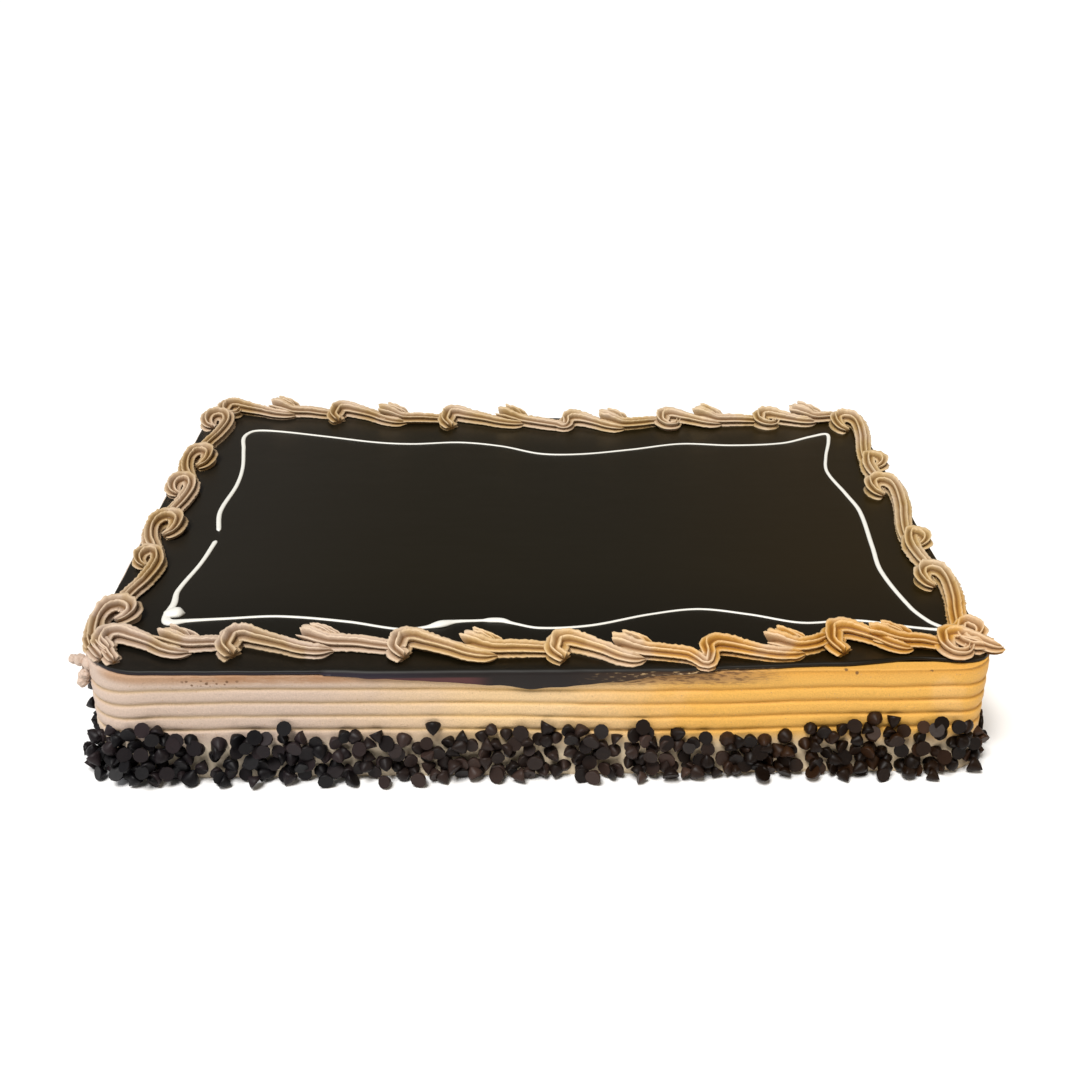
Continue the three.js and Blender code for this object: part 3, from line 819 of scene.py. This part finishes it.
# ---- the piped buttercream border ----
# Reverse scrolls of cocoa buttercream from a star tip. Each scroll starts in a low fanned foot, rises
# round its own pivot and thins into a tail, and the next shell's head lies on that tail. Here and there
# a shell isn't cut off but folds down and back up into the next scroll.
# A stroke's half width and height, and the radius and height of the turn at its start.
WIDE = 5.7
TALL = 7
TURN = 6.6
HOOK_HEIGHT = 9.5
FRONT_HEAD_HEIGHT = 11
BACK_HEAD_HEIGHT = 12.5
# The star: its ridges, the points drawn on each, how deep the valleys go and how torn the crests are.
RIDGES = 8
RIDGE_STEPS = 8
VALLEY = 0.5
TEAR = 0.42
# How much later a valley starts than its ridge, and over what length a stroke opens, and closes.
FINGER_DELAY = 2.2
START_LENGTH = 2.6
TAIL_TAPER = 7.5
TAIL_SAG = 3.4
STRAND_STEP = 0.8
border_chance = random.Random(11)


def strand_tree():
    """Sweeps a star along each path: sharp crests, round valleys, ends that close over ridge by ridge."""
    web, given = new_tree("star_tip_strand", Ridges="Int", Steps="Int", Valley="Float", Floor="Float",
                          Tear="Float", Delay="Float", Blunt="Float", Material="Material")
    paths = web.flow("GeometryNodeMeshToCurve", inputs={"Mesh": given["Geometry"]})
    around = given["Ridges"] * given["Steps"]
    star = web.flow("GeometryNodeCurvePrimitiveCircle", inputs={"Resolution": around, "Radius": 1 * MM})
    star = stored(web, star, "turn", web.flow("GeometryNodeInputIndex") / around)
    skin = web.flow("GeometryNodeCurveToMesh", inputs={"Curve": paths, "Profile Curve": star,
                                                       "Fill Caps": True})
    turn = recalled(web, "turn")
    phase = recalled(web, "phase")
    centre = recalled(web, "centre", "FLOAT_VECTOR")
    wave = turn * given["Ridges"] + phase
    ridge = 0.5 + 0.5 * (web.maths("ABSOLUTE", web.maths("COSINE", wave * math.pi))
                         - web.maths("ABSOLUTE", web.maths("SINE", wave * math.pi)))
    lobe = web.maths("COSINE", wave * (2 * math.pi)) * 0.5 + 0.5
    nearest = web.maths("ROUND", wave)
    number = web.flow("ShaderNodeTexWhiteNoise", {"noise_dimensions": "2D"},
                      {"Vector": web.joined(nearest, phase)}, output="Value")
    torn = web.noise(web.vector("ADD", web.scaled(centre, 520), web.joined(z=nearest * 7)), 1, 4)
    crest = 1 + (torn - 0.5) * given["Tear"] * ridge
    reach = 1 - (given["Valley"] + recalled(web, "split")) * (1 - ridge)
    start = recalled(web, "from_start") - (1 - lobe) * given["Delay"]
    start = web.maths("MAXIMUM", start / recalled(web, "start_length"), 0)
    opened = web.maths("SQRT", 1 - web.maths("MAXIMUM", 1 - start, 0) ** 2)
    at_once = (0.42 + lobe * 0.5) * given["Blunt"]
    opened = at_once + (1 - at_once) * opened
    end = recalled(web, "to_end") / recalled(web, "end_length")
    closed = web.maths("MINIMUM", end, 1) ** 0.6
    radius = reach * crest * web.maths("MAXIMUM", opened * closed, 0.02)
    angle = turn * (2 * math.pi)
    side = web.maths("COSINE", angle) * radius
    up = web.maths("MAXIMUM", 0.25 * web.maths("MINIMUM", opened * closed * 1.6, 1)
                   + web.maths("SINE", angle) * radius * 0.75, 0)
    up = up * (1 + side * recalled(web, "bank"))
    across = web.scaled(recalled(web, "across", "FLOAT_VECTOR"), side * recalled(web, "half"))
    upward = web.joined(z=up * recalled(web, "rise") + given["Floor"])
    lean = web.scaled(recalled(web, "lean", "FLOAT_VECTOR"), up)
    finger = web.scaled(recalled(web, "back", "FLOAT_VECTOR"),
                        lobe * (number + 0.1) * web.maths("MINIMUM", up * 2, 1))
    place = web.vector("ADD", web.vector("ADD", centre, across),
                       web.vector("ADD", upward, web.vector("ADD", lean, finger)))
    skin = web.flow("GeometryNodeSetPosition", inputs={"Geometry": skin, "Position": place})
    skin = stored(web, skin, "crest", ridge)
    return finish_tree(web, skin, given["Material"])


def smooth_course(stations, step=STRAND_STEP):
    """Even steps along a smooth curve through the stations, whose first two numbers are x and y."""
    knots = np.array(stations, dtype=float)
    chord = np.linalg.norm(np.diff(knots[:, :2], axis=0), axis=1)
    at = np.concatenate(([0], np.cumsum(chord)))
    slopes = np.empty_like(knots)
    slopes[1:-1] = (knots[2:] - knots[:-2]) / (at[2:] - at[:-2])[:, None]
    slopes[0] = (knots[1] - knots[0]) / chord[0]
    slopes[-1] = (knots[-1] - knots[-2]) / chord[-1]
    fine = []
    for i, span in enumerate(chord):
        for t in np.linspace(0, 1, max(int(span / 0.2), 2), endpoint=False):
            ahead = 3 * t ** 2 - 2 * t ** 3
            leaving = (t ** 3 - 2 * t ** 2 + t) * span * slopes[i]
            arriving = (t ** 3 - t ** 2) * span * slopes[i + 1]
            fine.append((1 - ahead) * knots[i] + leaving + ahead * knots[i + 1] + arriving)
    fine.append(knots[-1])
    fine = np.array(fine)
    length = np.concatenate(([0], np.cumsum(np.linalg.norm(np.diff(fine[:, :2], axis=0), axis=1))))
    even = np.linspace(0, length[-1], max(int(length[-1] / step), 4))
    return np.stack([np.interp(even, length, fine[:, k]) for k in range(fine.shape[1])], axis=1), even


def at(x, y, half, height, lean=(0, 0), bank=0.0, skew=0.0):
    """A station of a stroke: its width and height there, how its top leans, how far its left side
    stands above its right one, and how many degrees its section is turned off square."""
    return (x, y, half, height, *lean, bank, skew)


def tail(start, end, along_x, sag=0.0):
    """A tail that runs to its end in an easy S, sagging to the front just before it."""
    stations = []
    for t in (0.3, 0.55, 0.8, 1):
        ease = smooth_share(t * 1.1)
        x = start[0] + (end[0] - start[0]) * (t if along_x else ease)
        y = start[1] + (end[1] - start[1]) * (ease if along_x else t)
        y -= sag * math.sin(math.pi * t ** 1.5)
        stations.append(at(x, y, WIDE * (1 - 0.16 * t * t), TALL * (1 - 0.35 * t * t)))
    return stations


def scroll_right(x, y, foot, hook, end):
    """A scroll to the right. Without a hook its fanned foot points to the front; with a hook of 1 its
    start curls round in front of its pivot like a tongue."""
    if hook < 0.5:
        start = [
            at(x - 3.4 + 6 * hook, y - foot * 0.98, WIDE * 1.12, 5.6, bank=0.25, skew=-6),
            at(x - 6.8 + 2 * hook, y - foot * 0.5, WIDE * 1.08, 7.2, bank=0.4),
        ]
    else:
        start = [
            at(x + 4.4 * hook, y - foot * 0.4, WIDE * 0.6, 7.0, bank=0.3),
            at(x + 2.0 * hook, y - foot * 0.86, WIDE * 0.66, 6.2, bank=0.3),
            at(x - 3.0, y - foot * 0.94, WIDE * 0.8, 6.4, bank=0.4),
            at(x - 6.0, y - foot * 0.5, WIDE * 1.0, 7.8, bank=0.4),
        ]
    return [
        *start,
        at(x - 5.9, y - 0.8, WIDE * 1.15, 8.9, bank=0.38),
        at(x - 4.5, y + TURN * 0.65, WIDE * 1.12, HOOK_HEIGHT, bank=0.3),
        at(x + 1.0, y + TURN * 0.85, WIDE * 1.04, HOOK_HEIGHT, bank=0.25),
        at(x + TURN * 1.15, y + TURN * 0.5, WIDE, HOOK_HEIGHT * 0.88, bank=0.15),
        *tail((x + TURN * 1.5, y + TURN * 0.3), end, True, TAIL_SAG),
    ]


def fold_right(x, y, foot, end):
    """A shell's tail that runs down into a foot, turns back up and goes on as a scroll."""
    return [
        at(x - TURN * 2.3, y - TURN * 0.3, WIDE * 0.96, TALL * 0.96),
        at(x - TURN * 1.6, y - foot * 0.5, WIDE * 0.88, TALL * 0.84),
        at(x - TURN * 1.0, y - foot * 0.9, WIDE * 0.8, TALL * 0.76),
        at(x - TURN * 0.66, y - foot * 0.42, WIDE * 0.86, 7.6, bank=0.2),
        at(x - TURN * 0.66, y + TURN * 0.25, WIDE, 9.2, bank=0.3),
        at(x - TURN * 0.05, y + TURN * 0.82, WIDE * 1.03, HOOK_HEIGHT, bank=0.3),
        at(x + TURN * 1.0, y + TURN * 0.75, WIDE, HOOK_HEIGHT * 0.9, bank=0.2),
        *tail((x + TURN * 1.4, y + TURN * 0.45), end, True, TAIL_SAG),
    ]


def shell_head(x, y, height):
    """A shell's start: ridges that splay into rounded lobes and stand up, then draw together."""
    return [
        at(x - 4.5, y + 2.0, WIDE * 0.9, height * 0.9, (-1.6, 2.2)),
        at(x - 0.5, y + 0.7, WIDE * 1.06, height * 0.94, (-1.4, 2)),
        at(x + 4, y - 0.2, WIDE * 1.06, height * 0.8, (-0.6, 1)),
        at(x + 9, y - 0.5, WIDE * 1.0, TALL * 1.06),
    ]


def shell_petal(x, y, height, slant):
    """A thin ruffle that stands up behind a shell's head."""
    return [
        at(x + 1 + slant, y + 5.2, 1.2, height * 1.0, (-2.4, 1.6)),
        at(x + 4.5 + slant, y + 4.4, 1.9, height * 0.92, (-1.5, 1.2)),
        at(x + 8 + slant, y + 3.2, 2.0, height * 0.76),
        at(x + 12 + slant, y + 1.6, 1.6, height * 0.5),
    ]


def scroll_down(x, y, foot, side, sweep, size, end):
    """A scroll of a side border: its fan starts round its pivot, turns over and runs to the front.
    Its tail lies sweep away from its head's middle."""
    wide = WIDE * size
    out = side * size
    far = x - side * sweep
    return [
        at(x + side * 0.2, y - foot * 0.8 - 1.0, wide * 0.8, 4.4, bank=-0.3 * side, skew=-20 * side),
        at(x + out * 3.2, y - foot * 0.78, wide * 0.94, 6.0, bank=-0.35 * side, skew=-10 * side),
        at(x + out * 5.2, y - foot * 0.4, wide * 1.06, 8.0, bank=-0.35 * side),
        at(x + out * 4.2, y + 0.6, wide * 1.1, 9.2, bank=-0.35 * side),
        at(x - side * 0.6, y + 3.6, wide * 1.1, HOOK_HEIGHT, bank=-0.3 * side),
        at(x - side * sweep * 0.72, y + 0.2, wide * 1.08, HOOK_HEIGHT, bank=-0.2 * side),
        at(far, y - 8, WIDE, TALL * 1.1),
        *tail((far, y - 11), end, False),
    ]


# A front or back border from left to right, in turn a scroll, as (x, y, foot, hook), and a shell, as
# (x, y). Where the shell before a scroll folds into it, the scroll is (x, y, foot).
FRONT_HEADS = ((-211, -147, 9, 0.25), (-183, -149), (-148, -148.5, 10, 0.15), (-112, -148),
               (-62.5, -153.5, 8, 0.1), (-30, -155), (16, -156.5, 8, 0.2), (45, -158), (90, -161, 11),
               (122, -155.5), (156, -148, 13, 0.1), (176, -151), (211, -155.5, 9, 1.0))
BACK_HEADS = ((-209, 166, 8, 0.8), (-176, 164), (-130, 158, 11, 0.0), (-98, 150), (-52, 148, 13, 0.1),
              (-16, 145), (29, 138, 6), (54, 137), (97, 142, 10, 0.8), (120, 143), (165, 142, 8, 0.8),
              (188, 146))
# A side border from back to front, as (x, y, foot, side of the foot, sweep, size).
LEFT_HEADS = ((-218, 150, 15, -1, 8, 1.0), (-216, 86, 18, 1, 7, 1.0), (-218, 41, 14, -1, 6, 0.95),
              (-215, -12, 17, 1, 8, 1.05), (-216, -57, 9, -1, 6, 0.78), (-217, -116, 9, 1, 9, 1.12))
RIGHT_HEADS = ((216, 139, 17, -1, 9, 0.95), (220, 68, 7, 1, 4, 0.9), (216, 33, 14, -1, 9, 0.95),
               (219, -42, 6, 1, 4, 0.85), (216, -84, 12, -1, 8, 0.88), (220, -144, 6, 1, 6, 0.8))
# Last dabs where the borders meet at the front left corner, as (start, end, half width, height).
CORNER_DABS = (((-226, -141), (-222, -152), 4.2, 8.5), ((-223, -148), (-215, -160), 4.6, 7.5),
               ((-215, -152), (-208, -163), 4.4, 7.0), ((-220, -145), (-212, -155), 4.6, 10))


def cross_strokes(heads, head_height, sag, last_end):
    """The strokes of the front or back border, each as its stations and how ragged its start is. The
    tails sag towards the front."""
    strokes = []
    for i in range(0, len(heads), 2):
        x, y, foot, *hook = heads[i]
        if i + 1 < len(heads):
            ahead = heads[i + 1]
            drop = sag * border_chance.uniform(0.85, 1.15)
            end = (ahead[0] + border_chance.uniform(9, 13), ahead[1] - drop)
        else:
            end = last_end
        if hook:
            strokes.append((scroll_right(x, y, foot, hook[0], end), 0.6))
        else:
            stations, ragged = strokes.pop()
            strokes.append((stations + fold_right(x, y, foot, end), ragged))
        if i + 1 < len(heads):
            x, y = heads[i + 1]
            stations = shell_head(x, y, head_height)
            following = heads[i + 2] if i + 2 < len(heads) else (*last_end, 0, 0)
            for slant in (0, border_chance.uniform(3, 5)):
                strokes.insert(0, (shell_petal(x, y, head_height - 0.4 * slant, slant), 1.4))
            if len(following) == 4:
                stations += tail((x + 12, y), (following[0] - 4, following[1] + 1), True)
            strokes.append((stations, 3.0))
    return strokes


def side_strokes(heads, last_end):
    strokes = []
    for i, (x, y, foot, side, sweep, size) in enumerate(heads):
        end = last_end
        if i + 1 < len(heads):
            ahead = heads[i + 1]
            end = (ahead[0] - ahead[3] * TURN * 0.5, ahead[1] - 4)
        strokes.append((scroll_down(x, y, foot, side, sweep, size, end), 0.6))
    return strokes


def dab(start, end, half, height):
    (x0, y0), (x1, y1) = start, end
    stations = [at(x0 + (x1 - x0) * t, y0 + (y1 - y0) * t - 4 * t * (1 - t), half, height * (1 - 0.3 * t))
                for t in (0, 0.5, 1)]
    return stations[::-1], 0.3


VALLEY_SHADE_TONE = (0.34, 0.215, 0.08)
CREST_PAINTED_LIGHT = (0.84, 0.66, 0.45, 1)
GOLDEN_CAST = (0.84, 0.76, 0.47)
PINK_CAST = (0.62, 0.47, 0.36, 1)
cream_finish, web = new_material("piped_buttercream")
place, x, y, z, colour = cream_colour(web, 0.5, (-0.135, -0.08))
mottle = web.noise(place, 34, 2)
colour = web.tinted((1 - web.step(mottle, 0.40, 0.52)) * 0.8, colour, GOLDEN_CAST)
colour = web.blend(web.step(mottle, 0.52, 0.62) * 0.55, colour, PINK_CAST)
crest = web.mark("crest")
# Painted shade down into the star's valleys, and painted light along its crests.
colour = web.tinted((1 - crest) ** 1.25, colour, VALLEY_SHADE_TONE)
colour = web.scaled(web.blend(web.step(crest, 0.55, 1) * 0.35, colour, CREST_PAINTED_LIGHT), 0.95)
set_shader(web, Base_Color=colour, Roughness=0.5, Specular_IOR_Level=0.45,
           Normal=cream_bump(web, place, 0.3))

strand_shape = strand_tree()


def strand_paths(strokes, step=STRAND_STEP, taper=TAIL_TAPER):
    """What the strand tree reads, at even steps along every stroke, and the edges between the steps."""
    paths = []
    edges = []
    first = 0
    for stations, ragged in strokes:
        course, even = smooth_course(stations, step)
        count = len(course)
        direction = np.gradient(course[:, :2], axis=0)
        direction /= np.linalg.norm(direction, axis=1)[:, None]
        skew = np.radians(course[:, 7])
        turned = np.stack((direction[:, 0] * np.cos(skew) + direction[:, 1] * np.sin(skew),
                           direction[:, 1] * np.cos(skew) - direction[:, 0] * np.sin(skew)), axis=1)
        fade = np.exp(-even / 4.0)[:, None] * ragged
        flat = np.zeros((count, 1))
        paths.append({
            "centre": np.hstack((course[:, :2], flat)) * MM,
            "half": course[:, 2] * MM,
            "rise": course[:, 3] * MM,
            "lean": np.hstack((course[:, 4:6], flat)) * MM,
            "bank": course[:, 6],
            "across": np.hstack((-turned[:, 1:], turned[:, :1], flat)),
            "back": np.hstack((-direction * fade, fade * 0.25)) * MM,
            "from_start": even * MM,
            "to_end": (even[-1] - even) * MM,
            "phase": np.full(count, border_chance.randrange(RIDGE_STEPS) / RIDGE_STEPS),
            "split": fade[:, 0] * 0.07 + 0.14 * np.exp(-even / 5),
            "start_length": np.full(count, START_LENGTH * MM),
            "end_length": np.full(count, min(taper, even[-1] * 0.4) * MM),
        })
        edges += [(first + i, first + i + 1) for i in range(count - 1)]
        first += count
    return {key: np.concatenate([path[key] for path in paths]) for key in paths[0]}, edges


def pipe_border(name, node, strokes):
    """Lays the strokes of one border as paths and sweeps the star tip along them."""
    paths, edges = strand_paths(strokes)
    border = start_mesh(name, paths["centre"] / MM, edges, **paths)
    grown(border, strand_shape, Ridges=RIDGES, Steps=RIDGE_STEPS, Valley=VALLEY, Tear=TEAR,
          Delay=FINGER_DELAY * MM, Blunt=1.0, Floor=(HEIGHT - 0.05) * MM, Material=cream_finish)
    face_outwards(border)
    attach(border, "root")
    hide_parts(node)


pipe_border("piped_border_front", "border_front",
            [dab(*shape) for shape in CORNER_DABS]
            + cross_strokes(FRONT_HEADS, FRONT_HEAD_HEIGHT, 5, (234, -155)))
pipe_border("piped_border_back", "border_back", cross_strokes(BACK_HEADS, BACK_HEAD_HEIGHT, 3, (221, 149)))
pipe_border("piped_border_left", "border_left", side_strokes(LEFT_HEADS, (-223, -152)))
pipe_border("piped_border_right", "border_right", side_strokes(RIGHT_HEADS, (228, -158)))

# ---- the stray buttercream ----
# Soft lumps of border cream that slipped over the front left corner and stuck to the wall below it.
LUMPS = ((-225, -151, 56.5, 3.4), (-230, -149, 57, 3.0), (-233.5, -148, 57, 2.3), (-228, -146, 52, 2.6),
         (-229.5, -148, 47, 3.0), (-230.5, -149, 44, 2.8), (-228, -150, 50, 2.6))
shape = bmesh.new()
for x, y, z, radius in LUMPS:
    for vertex in bmesh.ops.create_icosphere(shape, subdivisions=4, radius=1.0)["verts"]:
        out = 1 + 0.24 * noise.noise(vertex.co * 1.6 + Vector((x, y, z)))
        out += 0.08 * abs(math.sin(vertex.co.z * 4 + x)) + 0.05 * noise.noise(vertex.co * 5)
        vertex.co = Vector((x, y, z)) * MM + vertex.co * (out * radius * MM)
lumps = in_scene("stray_buttercream", bpy.data.meshes.new("stray_buttercream"))
shape.to_mesh(lumps.data)
shape.free()
lumps.data.materials.append(comb_finish)
lumps.data.shade_smooth()
face_outwards(lumps)
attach(lumps, "root")
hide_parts("frosted_cake")

# ---- the white icing line ----
# A thin line of white icing from a small round tip, laid on the set glaze in one wavering pass round
# the top, with a gap on the left. It is thicker where the hand paused, and ends in a blob.
LINE_HEIGHT_SHARE = 0.72
# Its course from the gap on the left round the back, the right and the front, as (x, y, half width).
LINE_COURSE = (
    (-185, -18, 1.5), (-189, 8, 1.5), (-186, 45, 1.35), (-187, 72, 1.2), (-192, 104, 1.3), (-195, 124, 1.5),
    (-190, 134, 1.35), (-176, 134, 1.1), (-140, 124, 0.95), (-104, 113, 0.95), (-80, 110, 0.95),
    (-48, 112, 0.95), (-20, 105, 0.95), (6, 92, 1.0), (32, 91, 0.95), (66, 98, 0.95), (100, 107, 0.95),
    (134, 104, 0.95), (168, 107, 1.0), (190, 118, 1.2), (201, 122, 1.3), (200, 110, 1.2), (193, 84, 1.05),
    (189, 60, 1.1), (194, 26, 1.2), (197, 2, 1.3), (194, -44, 1.3), (192, -74, 1.3), (198, -114, 1.25),
    (204, -129, 1.3), (210, -137, 1.4), (196, -135, 1.0), (166, -127, 0.9), (138, -129, 0.9),
    (112, -120, 0.85), (86, -114, 0.85), (60, -119, 0.85), (28, -130, 0.95), (2, -132, 0.95),
    (-12, -127, 1.1), (-17.5, -124.5, 2.0), (-24, -124, 1.9), (-28, -124, 1.1), (-41, -125, 1.5),
    (-49, -128, 3.0), (-57, -130.5, 1.3), (-70, -132, 0.95), (-98, -124, 1.0), (-134, -118, 1.0),
    (-162, -120, 1.1), (-181, -122, 1.6), (-190, -124, 2.8), (-193, -118, 2.2), (-192, -104, 1.9),
    (-193, -90, 1.5), (-187, -58, 1.35), (-184, -30, 1.5),
)
LINE_BLOB = ((-195, -117, 3.0), (-192, -115.5, 4.0), (-189, -114.5, 4.6), (-186, -114, 4.2),
             (-184, -113.5, 3.2))

icing_finish, web = new_material("white_icing")
soft = web.noise(web.place(), 300, 2)
colour = web.blend(soft, (0.76, 0.75, 0.69, 1), (0.86, 0.85, 0.80, 1))
set_shader(web, Base_Color=colour, Roughness=0.35, Specular_IOR_Level=0.5,
           Normal=web.bump(soft, 0.2, 0.0004))

line_strokes = [([at(x, y, half * (1 + 0.1 * bumps(x, y, 0, 6)), half * LINE_HEIGHT_SHARE)
                  for x, y, half in course], 0) for course in (LINE_COURSE, LINE_BLOB)]
paths, edges = strand_paths(line_strokes, 1.0, 2.5)
line = start_mesh("white_piped_line", paths["centre"] / MM, edges, **paths)
grown(line, strand_shape, Ridges=1, Steps=12, Valley=0.0, Floor=(HEIGHT - 0.1) * MM, Tear=0.0,
      Delay=0.0, Blunt=0.0, Material=icing_finish)
face_outwards(line)
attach(line, "root")
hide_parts("chocolate_glaze")
